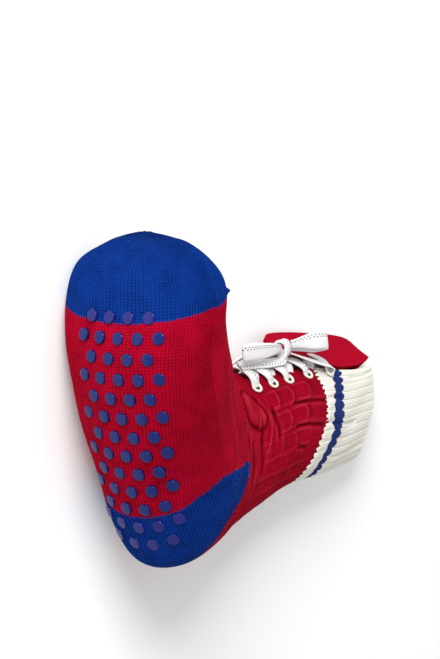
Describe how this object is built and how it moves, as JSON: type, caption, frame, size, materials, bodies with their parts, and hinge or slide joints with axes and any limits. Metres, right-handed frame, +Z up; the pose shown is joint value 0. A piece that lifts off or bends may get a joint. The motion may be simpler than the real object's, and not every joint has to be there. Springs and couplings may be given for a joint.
{
  "type": "slipper sock",
  "caption": "Knitted slipper sock lying on its side, with grip dots on the sole, contrast toe and heel, a felt tongue and a lace tied in a bow over the leg's throat.",
  "frame": {"origin": "on the floor, under the middle of the sock's box without the bow", "axes": "+X up the leg towards the cuff, +Y from heel to toe, +Z up from the floor through the sock as it lies on its side"},
  "size_m": [0.2416, 0.2052, 0.1071],
  "materials": {
    "red_knit": "red stockinette and cable knit with a soft nap",
    "blue_knit": "royal blue knit of the toe and heel pockets",
    "cuff_knit": "cream ribbed knit with one blue stripe",
    "grip_dots": "glossy slate blue printed dots",
    "red_felt": "smooth red felt",
    "cream_rings": "cream eyelet rings",
    "white_lace": "flat woven white lace with small black dashes"
  },
  "bodies": {
    "root": {"knit_sock": "red_knit", "tongue": "red_felt", "eyelet_near_1": "cream_rings", "eyelet_near_2": "cream_rings", "eyelet_near_3": "cream_rings", "eyelet_near_4": "cream_rings", "eyelet_near_5": "cream_rings", "eyelet_far_1": "cream_rings", "eyelet_far_2": "cream_rings", "eyelet_far_3": "cream_rings", "eyelet_far_4": "cream_rings", "eyelet_far_5": "cream_rings", "lace_crossings": "white_lace", "lace_knot": "white_lace", "lace_loop_left": "white_lace", "lace_loop_right": "white_lace", "lace_end_near": "white_lace", "lace_end_far": "white_lace"}
  },
  "joints": []
}
